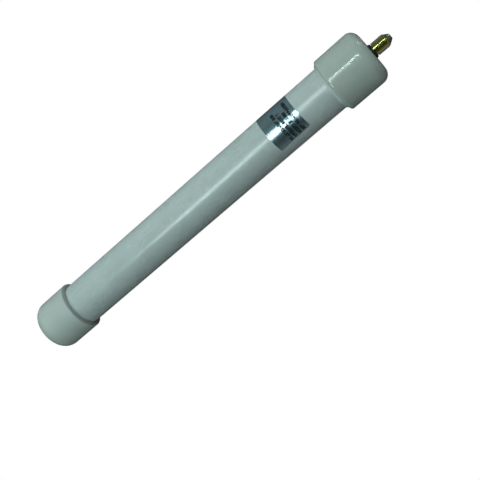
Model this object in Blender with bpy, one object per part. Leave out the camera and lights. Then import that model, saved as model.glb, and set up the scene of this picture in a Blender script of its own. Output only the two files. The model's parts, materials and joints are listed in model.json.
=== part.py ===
"""Omnidirectional stick antenna: a printed dipole in a capped PVC pipe, fed through an SMA jack.

Metres, +Z up. The antenna stands along +Z with its jack downwards. The origin is the centre of
the flat end face of the base cap; -Y is the side that the middle of the label's text faces.
"""
import bpy
import bmesh
from math import cos, pi, radians, sin, sqrt, tau
from mathutils import Matrix, Vector

# ---- Driving dimensions (metres) ----
GAP = 0.0003                    # clearance kept between pieces that touch

PIPE_OUTER_R = 0.01067          # half-inch pressure pipe, 21.34 mm across
PIPE_WALL = 0.0018
SOCKET_R = PIPE_OUTER_R + GAP   # bore of both caps

BASE_CAP_R = 0.01315
BASE_CAP_LENGTH = 0.02185
BASE_CAP_CORNER = 0.0044
BASE_CAP_FLOOR = 0.0026         # thickness of the end wall
BASE_CAP_LIP = 0.0012           # rounding of the mouth

TOP_CAP_R = 0.01246
TOP_CAP_LENGTH = 0.0222
TOP_CAP_CORNER = 0.0064
TOP_CAP_FLOOR = 0.0030
TOP_CAP_INNER_CORNER = 0.0026
TOP_CAP_LIP = 0.0003
ANTENNA_TOP = 0.2014            # closed end of the top cap above the base face

SEALANT_REACH = 0.0010          # how far the bead comes out over the mouth, and up the pipe
SEALANT_FOOT = 0.0003

LABEL_BOTTOM = 0.03875
LABEL_HEIGHT = 0.0170
LABEL_THICKNESS = 0.0002
LABEL_START = radians(37.5)     # edge of the label, from -Y towards -X
LABEL_SWEEP = radians(183.0)    # the 34 mm label runs on through -Y to +X and past it
LABEL_STEPS = 40

THREAD_R = 0.003175             # 1/4-36 thread of the jack
THREAD_ROOT_R = 0.00276
THREAD_PITCH = 0.0254 / 36
RIDGE_FOOT = 0.35               # where a ridge reaches its crest and leaves it, in pitches
RIDGE_CREST = 0.55
JACK_LENGTH = 0.0099            # jack face below the base face
# radius of the bullet-shaped nose, and distance from the jack's face
NOSE_PROFILE = (
    (0.00148, 0.0),
    (0.00156, 0.00030),
    (0.00174, 0.00075),
    (0.00202, 0.00120),
    (0.00234, 0.00165),
    (0.00258, 0.00210),
    (0.00274, 0.00255),
    (0.00286, 0.00310),
)
JACK_BORE_R = 0.00130
CONTACT_R = 0.0005
CONTACT_BELOW_FACE = 0.0004
SOCKET_HOLE_R = 0.0003
SOCKET_HOLE_DEPTH = 0.0030
SLEEVE_BELOW_FACE = 0.0002
FLANGE_ACROSS_FLATS = 0.0080
FLANGE_THICKNESS = 0.0022
SPIGOT_R = 0.0025
SPIGOT_TOP = 0.0095
SEAL_GROOVE_R = 0.0025          # relief above the thread, which the seal sits in
SEAL_OUTER_R = 0.0035
SEAL_THICKNESS = 0.0008

EPOXY_HEIGHT = 0.0030           # at the flange
EPOXY_RISE = 0.0010             # how much higher it stands at the pipe
EPOXY_CURVE_R = 0.0032

CORE_R = 0.00045
DIELECTRIC_R = 0.00135
BRAID_R = 0.00185
BRAID_WALL = 0.0002
JACKET_R = 0.0025
CABLE_BOTTOM = SPIGOT_TOP + GAP
JACKET_TOP = 0.0478
BRAID_TOP = 0.0546
DIELECTRIC_TOP = 0.0568
CORE_TOP = 0.0602

FERRULE_WALL = 0.0004
FERRULE_SPAN = (0.0062, 0.0168)
SHRINK_WALL = 0.0003
SHRINK_SPAN = (0.0078, 0.0230)
SHRINK_STEP_TOP = 0.0190        # where the sleeve has closed on the jacket
BEAD_R = 0.0055
BEAD_LENGTH = 0.0100
BEAD_BOTTOM = 0.0260

BOARD_WIDTH = 0.0136
BOARD_THICKNESS = 0.0010
BOARD_SPAN = (0.0495, 0.1775)
BOARD_SLOT_WIDTH = 2 * (BRAID_R + GAP)
BOARD_SLOT_TOP = 0.0576
COPPER_THICKNESS = 0.00015
COPPER_FRONT_Y = CORE_R + GAP   # the cable's core lies on the front copper
FEED_Z = 0.1195                 # feed point of the dipole
ARM_LENGTH = 0.0530             # a shortened quarter wave
ARM_WIDTH = 0.0094
STRIP_WIDTH = 0.0022
GROUND_WIDTH = 0.0036
SIDE_ARM_WIDTH = 0.0026
COPPER_MARGIN = 0.0008          # bare laminate kept round the copper
ARM_FLARE = 0.0034              # height over which the feed strip widens into its arm
GROUND_PAD_TOP = BOARD_SLOT_TOP + 0.0030
GROUND_TAPER = 0.0020
CORE_JOINT_RADII = (0.0009, 0.0004, 0.0010)
BRAID_JOINT_RADII = (0.0011, 0.0005, 0.0022)
BRAID_JOINT_Z = 0.0522

FOAM_R = PIPE_OUTER_R - PIPE_WALL - GAP
FOAM_THICKNESS = 0.0070
FOAM_BOTTOMS = {"lower": 0.0680, "middle": 0.1232, "upper": 0.1655}
FOAM_SLOT_WIDTH = BOARD_WIDTH + 2 * GAP
FOAM_SLOT_DEPTH = 0.0030
END_PAD_SPAN = (0.1779, 0.1925)

ROUND_SIDES = 72                # facets round the pipe and caps
MIDDLE_SIDES = 48               # facets round the pieces inside the pipe
SMALL_SIDES = 32                # facets round the jack and the cable's fittings
CABLE_SIDES = 24

# ---- Sizes that follow ----
PIPE_INNER_R = PIPE_OUTER_R - PIPE_WALL
PIPE_BOTTOM = BASE_CAP_FLOOR + GAP
TOP_CAP_MOUTH = ANTENNA_TOP - TOP_CAP_LENGTH
TOP_SOCKET_FLOOR = ANTENNA_TOP - TOP_CAP_FLOOR
PIPE_TOP = TOP_SOCKET_FLOOR - TOP_CAP_INNER_CORNER + 0.0001
BOARD_FRONT_Y = COPPER_FRONT_Y + COPPER_THICKNESS + GAP
BOARD_MID_Y = BOARD_FRONT_Y + BOARD_THICKNESS / 2
BOARD_BACK_Y = BOARD_FRONT_Y + BOARD_THICKNESS


# ---- Scene and materials ----
def clear_scene():
    for item in list(bpy.data.objects):
        bpy.data.objects.remove(item, do_unlink=True)


def material(name, colour, roughness, metallic=0.0, alpha=1.0):
    made = bpy.data.materials.new(name)
    made.use_nodes = True
    shader = made.node_tree.nodes["Principled BSDF"]
    shader.inputs["Base Color"].default_value = (*colour, 1.0)
    shader.inputs["Roughness"].default_value = roughness
    shader.inputs["Metallic"].default_value = metallic
    shader.inputs["Alpha"].default_value = alpha
    return made


def make_materials():
    return {
        "pipe_pvc": material("pipe_pvc", (0.46, 0.55, 0.53), 0.45),
        "cap_pvc": material("cap_pvc", (0.42, 0.51, 0.48), 0.36),
        "silicone": material("silicone", (0.55, 0.63, 0.60), 0.30),
        "foil": material("foil", (0.62, 0.66, 0.68), 0.22, 1.0),
        "black_rubber": material("black_rubber", (0.015, 0.016, 0.016), 0.60),
        "gold": material("gold", (0.80, 0.58, 0.22), 0.25, 1.0),
        "ptfe": material("ptfe", (0.85, 0.85, 0.82), 0.50),
        "epoxy": material("epoxy", (0.62, 0.55, 0.38), 0.25),
        "nickel": material("nickel", (0.62, 0.60, 0.56), 0.28, 1.0),
        "shrink": material("shrink", (0.02, 0.02, 0.022), 0.50),
        "jacket": material("jacket", (0.03, 0.03, 0.032), 0.45),
        "braid": material("braid", (0.66, 0.62, 0.55), 0.40, 1.0),
        "polyethylene": material("polyethylene", (0.80, 0.80, 0.76), 0.45),
        "core_copper": material("core_copper", (0.76, 0.36, 0.20), 0.30, 1.0),
        "ferrite": material("ferrite", (0.05, 0.05, 0.055), 0.60),
        "fibreglass": material("fibreglass", (0.03, 0.20, 0.09), 0.35),
        "board_copper": material("board_copper", (0.74, 0.52, 0.22), 0.30, 1.0),
        "solder": material("solder", (0.68, 0.68, 0.68), 0.25, 1.0),
        "foam": material("foam", (0.78, 0.78, 0.76), 0.95),
    }


# ---- Shape helpers ----
def finish(name, mesh, look, origin=(0.0, 0.0, 0.0), parent=None, smooth=True):
    """Make an object from a mesh whose vertices are relative to the object's origin."""
    if smooth:
        mesh.shade_smooth()
        mesh.set_sharp_from_angle(angle=radians(35.0))
    made = bpy.data.objects.new(name, mesh)
    bpy.context.scene.collection.objects.link(made)
    made.data.materials.append(look)
    made.location = origin
    if parent is not None:
        made.parent = parent
    return made


def arc(centre_r, centre_z, radius, start, end, steps):
    """Points (r, z) of an arc, its angles in degrees from +r towards +z."""
    points = []
    for i in range(steps + 1):
        angle = radians(start + (end - start) * i / steps)
        points.append((centre_r + radius * cos(angle), centre_z + radius * sin(angle)))
    return points


def turned(name, profile, look, sides=ROUND_SIDES, origin_z=0.0, parent=None):
    """Turn a closed (r, z) outline about the Z axis. Points with r = 0 become poles."""
    mesh = bpy.data.meshes.new(name)
    bm = bmesh.new()
    rings = []
    for r, z in profile:
        if r < 1e-9:
            rings.append([bm.verts.new((0.0, 0.0, z - origin_z))])
            continue
        ring = []
        for k in range(sides):
            angle = tau * k / sides
            ring.append(bm.verts.new((r * cos(angle), r * sin(angle), z - origin_z)))
        rings.append(ring)
    count = len(rings)
    on_axis = any(len(ring) == 1 for ring in rings)
    for i in range(count if not on_axis else count - 1):
        near, far = rings[i], rings[(i + 1) % count]
        for k in range(sides):
            n = (k + 1) % sides
            if len(near) == 1:
                bm.faces.new((near[0], far[n], far[k]))
            elif len(far) == 1:
                bm.faces.new((near[k], near[n], far[0]))
            else:
                bm.faces.new((near[k], near[n], far[n], far[k]))
    bmesh.ops.recalc_face_normals(bm, faces=bm.faces)
    bm.to_mesh(mesh)
    bm.free()
    return finish(name, mesh, look, (0.0, 0.0, origin_z), parent)


def tube(name, inner_r, outer_r, span, look, sides=SMALL_SIDES, parent=None):
    low, high = span
    outline = [(inner_r, low), (outer_r, low), (outer_r, high), (inner_r, high)]
    return turned(name, outline, look, sides, parent=parent)


def plate(name, outline, back_y, thickness, look, parent=None):
    """A flat plate in the XZ plane, its outline (x, z) extruded from back_y towards -Y."""
    mesh = bpy.data.meshes.new(name)
    bm = bmesh.new()
    base = bm.faces.new([bm.verts.new((x, back_y, z)) for x, z in outline])
    grown = bmesh.ops.extrude_face_region(bm, geom=[base])
    moved = [item for item in grown["geom"] if isinstance(item, bmesh.types.BMVert)]
    bmesh.ops.translate(bm, verts=moved, vec=(0.0, -thickness, 0.0))
    bmesh.ops.recalc_face_normals(bm, faces=bm.faces)
    bm.to_mesh(mesh)
    bm.free()
    return finish(name, mesh, look, parent=parent, smooth=False)


def mirrored(half):
    """Close a symmetric (x, z) outline from its +x half, listed from bottom to top."""
    return half + [(-x, z) for x, z in reversed(half)]


def blob(name, centre, radii, look, parent=None):
    """A small rounded bead of solder."""
    mesh = bpy.data.meshes.new(name)
    bm = bmesh.new()
    bmesh.ops.create_uvsphere(bm, u_segments=12, v_segments=8, radius=1.0)
    bmesh.ops.transform(bm, matrix=Matrix.Diagonal(Vector((*radii, 1.0))), verts=bm.verts)
    bm.to_mesh(mesh)
    bm.free()
    return finish(name, mesh, look, centre, parent)


def cut_box(target, centre, size):
    """Subtract a box from an object."""
    mesh = bpy.data.meshes.new(target.name + "_cutter")
    bm = bmesh.new()
    bmesh.ops.create_cube(bm, size=1.0)
    bmesh.ops.transform(bm, matrix=Matrix.Diagonal(Vector((*size, 1.0))), verts=bm.verts)
    bm.to_mesh(mesh)
    bm.free()
    cutter = bpy.data.objects.new(mesh.name, mesh)
    bpy.context.scene.collection.objects.link(cutter)
    cutter.location = centre
    cutter.hide_render = True
    cutter.display_type = "WIRE"
    cut = target.modifiers.new("slot", "BOOLEAN")
    cut.operation = "DIFFERENCE"
    cut.solver = "EXACT"
    cut.object = cutter


# ---- Housing ----
def radome_tube(looks, root):
    span = (PIPE_BOTTOM, PIPE_TOP)
    tube("radome_tube", PIPE_INNER_R, PIPE_OUTER_R, span, looks["pipe_pvc"], ROUND_SIDES, root)


def base_cap(looks, root):
    """The feed-end cap: closed face at z = 0 with the jack's hole, mouth upwards."""
    hole_r = THREAD_R + GAP
    corner_r = BASE_CAP_R - BASE_CAP_CORNER
    lip_r = BASE_CAP_R - BASE_CAP_LIP
    outline = [(hole_r, BASE_CAP_FLOOR), (hole_r, 0.0)]
    outline += arc(corner_r, BASE_CAP_CORNER, BASE_CAP_CORNER, -90.0, 0.0, 8)
    outline += arc(lip_r, BASE_CAP_LENGTH - BASE_CAP_LIP, BASE_CAP_LIP, 0.0, 90.0, 4)
    outline += [(SOCKET_R, BASE_CAP_LENGTH), (SOCKET_R, BASE_CAP_FLOOR)]
    turned("base_cap", outline, looks["cap_pvc"], parent=root)


def top_cap(looks, slider):
    """The far-end cap, which pushes on over the pipe: mouth downwards, rounded closed end."""
    corner_r = TOP_CAP_R - TOP_CAP_CORNER
    corner_z = ANTENNA_TOP - TOP_CAP_CORNER
    inner_r = SOCKET_R - TOP_CAP_INNER_CORNER
    inner_z = TOP_SOCKET_FLOOR - TOP_CAP_INNER_CORNER
    outline = [(0.0, TOP_SOCKET_FLOOR)]
    outline += arc(inner_r, inner_z, TOP_CAP_INNER_CORNER, 90.0, 0.0, 6)
    outline += [(SOCKET_R, TOP_CAP_MOUTH)]
    outline += arc(TOP_CAP_R - TOP_CAP_LIP, TOP_CAP_MOUTH + TOP_CAP_LIP, TOP_CAP_LIP, -90.0, 0.0, 2)
    outline += arc(corner_r, corner_z, TOP_CAP_CORNER, 0.0, 90.0, 9)
    outline += [(0.0, ANTENNA_TOP)]
    made = turned("top_cap", outline, looks["cap_pvc"], origin_z=TOP_CAP_MOUTH, parent=slider)
    made.location = (0.0, 0.0, 0.0)


def sealant_bead(looks, root):
    """Silicone fillet between the base cap's mouth and the pipe, hollow-ground by a finger."""
    foot = BASE_CAP_LENGTH + GAP
    curve_r = SOCKET_R + SEALANT_REACH
    curve_z = foot + SEALANT_FOOT + SEALANT_REACH
    outline = [(SOCKET_R, foot), (curve_r, foot)]
    outline += arc(curve_r, curve_z, SEALANT_REACH, -90.0, -180.0, 5)
    turned("sealant_bead", outline, looks["silicone"], parent=root)


def label(looks, root):
    """Foil label: a thin sheet bent round the pipe."""
    inner_r = PIPE_OUTER_R + GAP
    outer_r = inner_r + LABEL_THICKNESS
    mesh = bpy.data.meshes.new("label")
    bm = bmesh.new()
    sections = []
    for k in range(LABEL_STEPS + 1):
        angle = -pi / 2 - LABEL_START + LABEL_SWEEP * k / LABEL_STEPS
        section = []
        corners = ((inner_r, 0.0), (outer_r, 0.0), (outer_r, LABEL_HEIGHT), (inner_r, LABEL_HEIGHT))
        for r, z in corners:
            section.append(bm.verts.new((r * cos(angle), r * sin(angle), LABEL_BOTTOM + z)))
        sections.append(section)
    for near, far in zip(sections, sections[1:]):
        for k in range(4):
            n = (k + 1) % 4
            bm.faces.new((near[k], near[n], far[n], far[k]))
    bm.faces.new(sections[0])
    bm.faces.new(reversed(sections[-1]))
    bmesh.ops.recalc_face_normals(bm, faces=bm.faces)
    bm.to_mesh(mesh)
    bm.free()
    finish("label", mesh, looks["foil"], parent=root)


# ---- Connector ----
def connector_seal(looks, root):
    span = (-GAP - SEAL_THICKNESS, -GAP)
    tube("connector_seal", SEAL_GROOVE_R + GAP, SEAL_OUTER_R, span, looks["black_rubber"], parent=root)


def thread_outline(bottom, top):
    """Ridges of the thread as turned grooves, from bottom to top."""
    turns = int((top - bottom) / THREAD_PITCH)
    points = []
    for i in range(turns):
        z = bottom + i * THREAD_PITCH
        points += [(THREAD_ROOT_R, z), (THREAD_R, z + RIDGE_FOOT * THREAD_PITCH)]
        points += [(THREAD_R, z + RIDGE_CREST * THREAD_PITCH)]
    return points + [(THREAD_ROOT_R, bottom + turns * THREAD_PITCH)]


def sma_body(looks, root):
    """Jack body: nose, threaded barrel, hexagon flange inside the cap, spigot for the cable."""
    face_z = -JACK_LENGTH
    thread_foot = face_z + NOSE_PROFILE[-1][1]
    thread_top = -2 * GAP - SEAL_THICKNESS
    flange_foot = BASE_CAP_FLOOR + GAP
    flange_top = flange_foot + FLANGE_THICKNESS
    outline = [(JACK_BORE_R, SPIGOT_TOP), (JACK_BORE_R, face_z)]
    outline += [(r, face_z + rise) for r, rise in NOSE_PROFILE]
    outline += thread_outline(thread_foot, thread_top)
    outline += [(THREAD_ROOT_R, thread_top), (SEAL_GROOVE_R, thread_top), (SEAL_GROOVE_R, 0.0)]
    outline += [(THREAD_R, 0.0), (THREAD_R, flange_foot + FLANGE_THICKNESS / 2)]
    outline += [(SPIGOT_R, flange_foot + FLANGE_THICKNESS / 2), (SPIGOT_R, SPIGOT_TOP)]
    body = turned("sma_body", outline, looks["gold"], SMALL_SIDES, parent=root)

    corner_r = FLANGE_ACROSS_FLATS / sqrt(3.0)
    bm = bmesh.new()
    rings = []
    for radius in (THREAD_R - GAP, corner_r):
        for z in (flange_foot, flange_top):
            ring = []
            for k in range(6):
                angle = tau * k / 6
                ring.append(bm.verts.new((radius * cos(angle), radius * sin(angle), z)))
            rings.append(ring)
    inner_low, inner_high, outer_low, outer_high = rings
    for near, far in ((inner_low, outer_low), (outer_low, outer_high),
                      (outer_high, inner_high), (inner_high, inner_low)):
        for k in range(6):
            n = (k + 1) % 6
            bm.faces.new((near[k], near[n], far[n], far[k]))
    bmesh.ops.recalc_face_normals(bm, faces=bm.faces)
    mesh = bpy.data.meshes.new("flange")
    bm.to_mesh(mesh)
    bm.free()
    flange = bpy.data.objects.new("flange", mesh)
    bpy.context.scene.collection.objects.link(flange)
    flange.hide_render = True
    flange.display_type = "WIRE"
    join = body.modifiers.new("flange", "BOOLEAN")
    join.operation = "UNION"
    join.solver = "EXACT"
    join.object = flange


def sma_insides(looks, root):
    face_z = -JACK_LENGTH
    sleeve_span = (face_z + SLEEVE_BELOW_FACE, SPIGOT_TOP - SLEEVE_BELOW_FACE)
    inner_r, outer_r = CONTACT_R + GAP, JACK_BORE_R - GAP
    tube("sma_dielectric", inner_r, outer_r, sleeve_span, looks["ptfe"], SMALL_SIDES, root)
    foot = face_z + CONTACT_BELOW_FACE
    hole_top = foot + SOCKET_HOLE_DEPTH
    top = SPIGOT_TOP - CONTACT_BELOW_FACE
    outline = [(0.0, hole_top), (SOCKET_HOLE_R, hole_top), (SOCKET_HOLE_R, foot)]
    outline += [(CONTACT_R, foot), (CONTACT_R, top), (0.0, top)]
    turned("sma_centre_contact", outline, looks["gold"], CABLE_SIDES, parent=root)


def epoxy_collar(looks, root):
    """Potting round the hexagon flange, poured into the bottom of the pipe."""
    inner_r = FLANGE_ACROSS_FLATS / sqrt(3.0) + GAP
    outer_r = PIPE_INNER_R - GAP
    foot = BASE_CAP_FLOOR + GAP
    curve_r = outer_r - EPOXY_CURVE_R
    curve_z = foot + EPOXY_HEIGHT + EPOXY_CURVE_R
    outline = [(inner_r, foot), (outer_r, foot), (outer_r, foot + EPOXY_HEIGHT + EPOXY_RISE)]
    outline += arc(curve_r, curve_z, EPOXY_CURVE_R, -43.0, -90.0, 4)[1:]
    outline += [(inner_r, foot + EPOXY_HEIGHT)]
    turned("epoxy_collar", outline, looks["epoxy"], MIDDLE_SIDES, parent=root)


# ---- Feed cable ----
def feed_cable(looks, root):
    core = [(0.0, CABLE_BOTTOM), (CORE_R, CABLE_BOTTOM), (CORE_R, CORE_TOP), (0.0, CORE_TOP)]
    turned("feed_cable_core", core, looks["core_copper"], CABLE_SIDES, parent=root)
    layers = (
        ("feed_cable_dielectric", CORE_R + GAP, DIELECTRIC_R, DIELECTRIC_TOP, "polyethylene"),
        ("feed_cable_braid", BRAID_R - BRAID_WALL, BRAID_R, BRAID_TOP, "braid"),
        ("feed_cable_jacket", BRAID_R + GAP, JACKET_R, JACKET_TOP, "jacket"),
    )
    for name, inner_r, outer_r, top, look in layers:
        tube(name, inner_r, outer_r, (CABLE_BOTTOM, top), looks[look], CABLE_SIDES, root)


def cable_fittings(looks, root):
    ferrule_inner = JACKET_R + GAP
    ferrule_outer = ferrule_inner + FERRULE_WALL
    tube("crimp_ferrule", ferrule_inner, ferrule_outer, FERRULE_SPAN, looks["nickel"], parent=root)
    over = ferrule_outer + GAP
    low, high = SHRINK_SPAN
    step_low, step_high = FERRULE_SPAN[1] + GAP, SHRINK_STEP_TOP
    outline = [(over, low), (over + SHRINK_WALL, low), (over + SHRINK_WALL, step_low)]
    outline += [(ferrule_inner + SHRINK_WALL, step_high), (ferrule_inner + SHRINK_WALL, high)]
    outline += [(ferrule_inner, high), (ferrule_inner, step_high), (over, step_low)]
    turned("heat_shrink", outline, looks["shrink"], SMALL_SIDES, parent=root)
    for i, place in enumerate(("lower", "upper")):
        foot = BEAD_BOTTOM + i * (BEAD_LENGTH + 2 * GAP)
        span = (foot, foot + BEAD_LENGTH)
        tube("ferrite_bead_" + place, ferrule_inner, BEAD_R, span, looks["ferrite"], parent=root)


# ---- Printed dipole ----
def antenna_board(looks, root):
    """Glass-epoxy board, with a slot at its foot that takes the stripped cable."""
    low, high = BOARD_SPAN
    half = BOARD_WIDTH / 2
    slot = BOARD_SLOT_WIDTH / 2
    right = [(half, low), (half, high)]
    left = [(-half, high), (-half, low)]
    notch = [(-slot, low), (-slot, BOARD_SLOT_TOP), (slot, BOARD_SLOT_TOP), (slot, low)]
    outline = right + left + notch
    plate("antenna_board", outline, BOARD_BACK_Y, BOARD_THICKNESS, looks["fibreglass"], root)


def dipole_copper(looks, root):
    """Feed strip and upper arm in front; ground strip and two folded arms behind."""
    strip, arm = STRIP_WIDTH / 2, ARM_WIDTH / 2
    foot = BOARD_SLOT_TOP + COPPER_MARGIN
    top = FEED_Z + ARM_LENGTH
    front = mirrored([(strip, foot), (strip, FEED_Z), (arm, FEED_Z + ARM_FLARE), (arm, top)])
    copper = looks["board_copper"]
    front_y = COPPER_FRONT_Y + COPPER_THICKNESS
    plate("dipole_front_copper", front, front_y, COPPER_THICKNESS, copper, root)

    ground = GROUND_WIDTH / 2
    outer = BOARD_WIDTH / 2 - COPPER_MARGIN
    inner = outer - SIDE_ARM_WIDTH
    bottom = FEED_Z - ARM_LENGTH
    bridge = FEED_Z - ARM_FLARE
    roots = BOARD_SPAN[0] + COPPER_MARGIN
    slot = BOARD_SLOT_WIDTH / 2 + GAP
    half = [(slot, BOARD_SLOT_TOP + COPPER_MARGIN), (slot, roots), (outer, roots)]
    half += [(outer, GROUND_PAD_TOP), (ground, GROUND_PAD_TOP + GROUND_TAPER), (ground, bridge)]
    half += [(inner, bridge), (inner, bottom), (outer, bottom), (outer, FEED_Z)]
    rear_y = BOARD_BACK_Y + GAP + COPPER_THICKNESS
    plate("dipole_rear_copper", mirrored(half), rear_y, COPPER_THICKNESS, copper, root)


def solder_joints(looks, root):
    front_y = COPPER_FRONT_Y - GAP - CORE_JOINT_RADII[1]
    place = (0.0, front_y, CORE_TOP + GAP + CORE_JOINT_RADII[2])
    blob("core_solder", place, CORE_JOINT_RADII, looks["solder"], root)
    rear_y = BOARD_BACK_Y + GAP + COPPER_THICKNESS + GAP + BRAID_JOINT_RADII[1]
    side_x = BOARD_SLOT_WIDTH / 2 + BRAID_JOINT_RADII[0]
    for side, sign in (("left", -1.0), ("right", 1.0)):
        place = (sign * side_x, rear_y, BRAID_JOINT_Z)
        blob("braid_solder_" + side, place, BRAID_JOINT_RADII, looks["solder"], root)


def foam_pieces(looks, root):
    """Slotted discs that centre the board in the pipe, and a plain pad above it."""
    for place, foot in FOAM_BOTTOMS.items():
        outline = [(0.0, foot), (FOAM_R, foot), (FOAM_R, foot + FOAM_THICKNESS)]
        outline += [(0.0, foot + FOAM_THICKNESS)]
        disc = turned("foam_spacer_" + place, outline, looks["foam"], MIDDLE_SIDES, parent=root)
        centre = (0.0, BOARD_MID_Y, foot + FOAM_THICKNESS / 2)
        cut_box(disc, centre, (FOAM_SLOT_WIDTH, FOAM_SLOT_DEPTH, 2 * FOAM_THICKNESS))
    low, high = END_PAD_SPAN
    outline = [(0.0, low), (FOAM_R, low), (FOAM_R, high), (0.0, high)]
    turned("foam_end_pad", outline, looks["foam"], MIDDLE_SIDES, parent=root)


def main():
    clear_scene()
    looks = make_materials()
    root = bpy.data.objects.new("antenna_root", None)
    bpy.context.scene.collection.objects.link(root)
    slider = bpy.data.objects.new("top_cap_slider", None)
    slider.location = (0.0, 0.0, TOP_CAP_MOUTH)
    bpy.context.scene.collection.objects.link(slider)
    radome_tube(looks, root)
    base_cap(looks, root)
    top_cap(looks, slider)
    sealant_bead(looks, root)
    label(looks, root)
    connector_seal(looks, root)
    sma_body(looks, root)
    sma_insides(looks, root)
    epoxy_collar(looks, root)
    feed_cable(looks, root)
    cable_fittings(looks, root)
    antenna_board(looks, root)
    dipole_copper(looks, root)
    solder_joints(looks, root)
    foam_pieces(looks, root)
    bpy.context.view_layer.update()


main()
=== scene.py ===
"""The looks of the stick antenna: finer shells, thread, foil label and sealant round the CAD frame."""
import json
import random
from math import cos, exp, pi, radians, sin, tau

import bmesh
import bpy
from mathutils import Matrix, Vector, noise


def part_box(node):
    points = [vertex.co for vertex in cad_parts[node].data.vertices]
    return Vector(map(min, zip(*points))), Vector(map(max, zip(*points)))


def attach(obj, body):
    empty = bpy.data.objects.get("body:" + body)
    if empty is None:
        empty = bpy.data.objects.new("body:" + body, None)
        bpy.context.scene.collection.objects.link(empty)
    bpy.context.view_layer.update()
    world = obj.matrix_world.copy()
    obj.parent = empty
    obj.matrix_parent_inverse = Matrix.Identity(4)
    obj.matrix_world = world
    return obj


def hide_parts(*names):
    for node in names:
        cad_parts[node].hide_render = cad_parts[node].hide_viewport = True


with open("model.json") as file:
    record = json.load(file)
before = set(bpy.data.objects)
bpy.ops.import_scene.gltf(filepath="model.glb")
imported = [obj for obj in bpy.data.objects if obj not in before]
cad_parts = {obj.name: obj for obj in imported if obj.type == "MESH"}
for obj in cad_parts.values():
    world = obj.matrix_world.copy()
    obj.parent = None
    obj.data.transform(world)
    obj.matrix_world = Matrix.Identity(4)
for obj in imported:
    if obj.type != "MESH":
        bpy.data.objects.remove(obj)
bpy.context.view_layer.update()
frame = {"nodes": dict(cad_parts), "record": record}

MM = 0.001

# ---- Sizes read from the frame ----
PIPE_LOW, PIPE_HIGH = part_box("radome_tube")
BASE_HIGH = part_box("base_cap")[1]
TOP_LOW, TOP_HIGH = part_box("top_cap")
BODY_LOW, BODY_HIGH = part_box("sma_body")
SEAL_LOW, SEAL_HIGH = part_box("connector_seal")
PAD_LOW, PAD_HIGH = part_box("foam_end_pad")
SLEEVE_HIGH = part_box("sma_dielectric")[1]

GAP = 0.3 * MM                          # what the CAD keeps between touching pieces
PIPE_R = PIPE_HIGH.x
BORE_R = PAD_HIGH.x + GAP
BASE_R = BASE_HIGH.x
TOP_R = TOP_HIGH.x
SOCKET_R = PIPE_R + 0.12 * MM           # the caps' sockets, a close slip fit

# ---- Sizes of the jack ----
JACK_SIDES = 96
JACK_EDGE = 0.1 * MM
THREAD_R = 3.175 * MM
THREAD_ROOT_R = 2.98 * MM
THREAD_PITCH = 25.4 * MM / 36
# a ridge's section: how far each corner is from its middle, in pitches, and whether it is on the crest
THREAD_PROFILE = ((0.36, False), (0.24, True), (-0.24, True), (-0.36, False))
THREAD_SINK = 0.05 * MM                 # how deep a ridge's foot is buried in the barrel
THREAD_RUN_OUT = 0.8                    # turns over which the ridge grows out of the barrel
LEAD_IN = 1.3 * MM                      # height over which the thread widens above the nose
LEAD_IN_DEPTH = 0.48 * MM
LEAD_IN_CURVE = 1.6
SEAL_GROOVE_R = 2.5 * MM
SEAL_INNER_R = SEAL_GROOVE_R + 0.1 * MM
SEAL_EDGE = 0.25 * MM
SEAL_FLARE = 0.05 * MM                  # how much wider it is at the cap
SEAL_FLARE_Z = -0.3 * MM                # where it starts to widen
SEAL_TOP_Z = -0.02 * MM
FLANGE_R = 4.0 * MM
FLANGE_LOW = 2.9 * MM
FLANGE_THICK = 2.2 * MM
SPIGOT_R = 2.5 * MM
JACK_BORE_PLAY = 0.05 * MM
# radius of the jack's nose, and height above its face
NOSE_PROFILE = (
    (1.12 * MM, 0.0),
    (1.30 * MM, 0.20 * MM),
    (1.62 * MM, 0.62 * MM),
    (1.98 * MM, 1.10 * MM),
    (2.28 * MM, 1.60 * MM),
    (2.42 * MM, 1.90 * MM),
)

# ---- Sizes of the pipe and the caps ----
HOUSING_SIDES = 192
RING_GAP = 0.35 * MM                    # from a bend to a ring that keeps the wall's shading straight
PIPE_EDGE = 0.3 * MM
PIPE_STATIONS = 24
HOLE_PLAY = 0.05 * MM                   # round the thread, where it leaves the feed cap
HOLE_EDGE = 0.15 * MM
BASE_CORNER = 4.4 * MM
BASE_FLOOR = 2.6 * MM
BASE_LIP = 1.3 * MM
BASE_CHAMFER = 0.2 * MM
BASE_DOME = 0.38 * MM                   # how far the feed cap's face falls away at its lowest side
BASE_DOME_EVEN = 0.55                   # the share of that fall which is the same all round
BASE_DOME_LEAN = 0.45                   # and the share that leans to one side
TOP_CORNER = 6.4 * MM
TOP_FLOOR = 3.0 * MM
TOP_INNER_CORNER = 2.6 * MM
TOP_CHAMFER = 0.25 * MM
TOP_LIP_RISE = 0.85 * MM                # height of the bevel round the far cap's mouth
TOP_LIP_DEPTH = 1.15 * MM
TOP_LIP_ROUND = 0.12 * MM               # what is left of the wall's edge to round off above the bevel
TOP_LIP_SETTLE = 0.25 * MM
TOP_LIP_RING = 0.6 * MM
GATE_R = 1.1 * MM                       # the stub of the mould gate, in a shallow groove
GATE_RISE = 0.12 * MM
GATE_GROOVE = 0.1 * MM
GATE_GROOVE_R = GATE_R + 0.5 * MM
GATE_GROOVE_FLOOR_R = GATE_R + 0.4 * MM

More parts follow.
